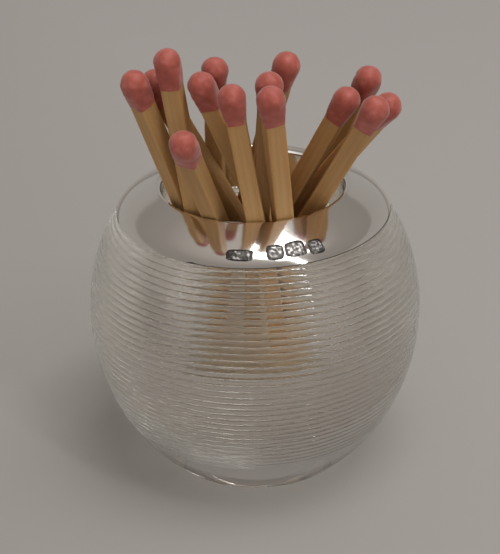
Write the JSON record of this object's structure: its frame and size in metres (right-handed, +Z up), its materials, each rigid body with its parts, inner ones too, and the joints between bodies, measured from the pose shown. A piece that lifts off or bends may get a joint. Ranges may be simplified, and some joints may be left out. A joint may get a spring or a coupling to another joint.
{
  "type": "match striker",
  "caption": "Small globe of thick clear glass ringed all round for striking matches, with a domed silver collar round its mouth and wooden matches standing in its well.",
  "frame": {"origin": "centre of the flat foot, on the surface it stands on", "axes": "+Z up along the globe's axis, -Y to the front, +X to the right as seen from the front"},
  "size_m": [0.045, 0.045, 0.0613],
  "materials": {
    "glass": "polished, with fine level rings",
    "silver": "polished silver with fine wear",
    "plaster": "matt",
    "wood": "split and bare",
    "paste": "matt"
  },
  "bodies": {
    "root": {"glass_body": "glass", "collar_bedding": "plaster", "collar": "silver", "match_01_stick": "wood", "match_02_stick": "wood", "match_03_stick": "wood", "match_04_stick": "wood", "match_05_stick": "wood", "match_06_stick": "wood", "match_07_stick": "wood", "match_08_stick": "wood", "match_09_stick": "wood", "match_10_stick": "wood", "match_11_stick": "wood", "match_12_stick": "wood", "match_13_stick": "wood", "match_14_stick": "wood", "match_01_head": "paste", "match_02_head": "paste", "match_03_head": "paste", "match_04_head": "paste", "match_05_head": "paste", "match_06_head": "paste", "match_07_head": "paste", "match_08_head": "paste", "match_09_head": "paste", "match_10_head": "paste", "match_11_head": "paste", "match_12_head": "paste", "match_13_head": "paste", "match_14_head": "paste"}
  },
  "joints": []
}
